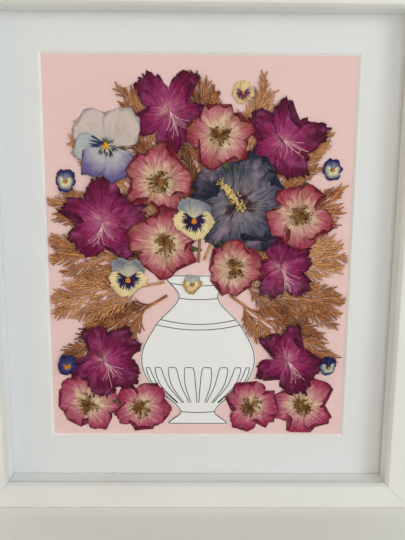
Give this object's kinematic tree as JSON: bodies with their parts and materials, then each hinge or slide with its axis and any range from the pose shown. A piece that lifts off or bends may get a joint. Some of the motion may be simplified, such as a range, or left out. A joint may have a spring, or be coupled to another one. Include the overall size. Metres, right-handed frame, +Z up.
{
  "type": "pressed flower frame",
  "caption": "Deep white box frame with a window mat, in which pressed blooms and dried cypress sprays lie behind glass as a bouquet in a cut-out card vase.",
  "frame": {"origin": "under the middle of the frame, on the surface that its bottom edge stands on", "axes": "+Z up, +X to the right as seen from the front, and the glass faces -Y"},
  "size_m": [0.274, 0.035, 0.32],
  "materials": {
    "lacquer": "white satin lacquer over wood",
    "glass": "clear float glass",
    "mat_board": "off-white mat board with a white core",
    "pink_card": "matte pink card",
    "white_card": "smooth white card with fine black pen lines",
    "fibreboard": "bare brown hardboard",
    "steel": "zinc-plated spring steel",
    "cypress": "dry matte pressed foliage",
    "hibiscus": "dry matte pressed petals",
    "rose": "dry matte pressed petals",
    "azalea": "dry matte pressed petals",
    "pale_pansy": "dry matte pressed petals",
    "yellow_viola": "dry matte pressed petals",
    "viola": "dry matte pressed petals"
  },
  "bodies": {
    "root": {"rail_top": "lacquer", "rail_bottom": "lacquer", "rail_left": "lacquer", "rail_right": "lacquer", "glass": "glass", "spacer_top": "lacquer", "spacer_bottom": "lacquer", "spacer_left": "lacquer", "spacer_right": "lacquer", "window_mat": "mat_board", "mount_card": "pink_card", "backing_board": "fibreboard", "point_top": "steel", "point_bottom": "steel", "point_left_top": "steel", "point_left_bottom": "steel", "point_right_top": "steel", "point_right_bottom": "steel", "hanger": "steel", "hanger_nail_left": "steel", "hanger_nail_right": "steel", "vase_card": "white_card", "cypress_1": "cypress", "cypress_2": "cypress", "cypress_3": "cypress", "cypress_4": "cypress", "cypress_5": "cypress", "cypress_6": "cypress", "cypress_7": "cypress", "cypress_8": "cypress", "cypress_9": "cypress", "cypress_10": "cypress", "cypress_11": "cypress", "cypress_12": "cypress", "cypress_13": "cypress", "hibiscus_1": "hibiscus", "rose_1": "rose", "rose_2": "rose", "rose_3": "rose", "rose_4": "rose", "rose_5": "rose", "rose_6": "rose", "rose_7": "rose", "rose_8": "rose", "rose_9": "rose", "azalea_1": "azalea", "azalea_2": "azalea", "azalea_3": "azalea", "azalea_4": "azalea", "azalea_5": "azalea", "azalea_6": "azalea", "pale_pansy_1": "pale_pansy", "yellow_viola_1": "yellow_viola", "yellow_viola_2": "yellow_viola", "viola_1": "viola", "viola_2": "viola", "viola_3": "viola", "viola_4": "viola", "viola_5": "viola", "viola_6": "viola"}
  },
  "joints": []
}
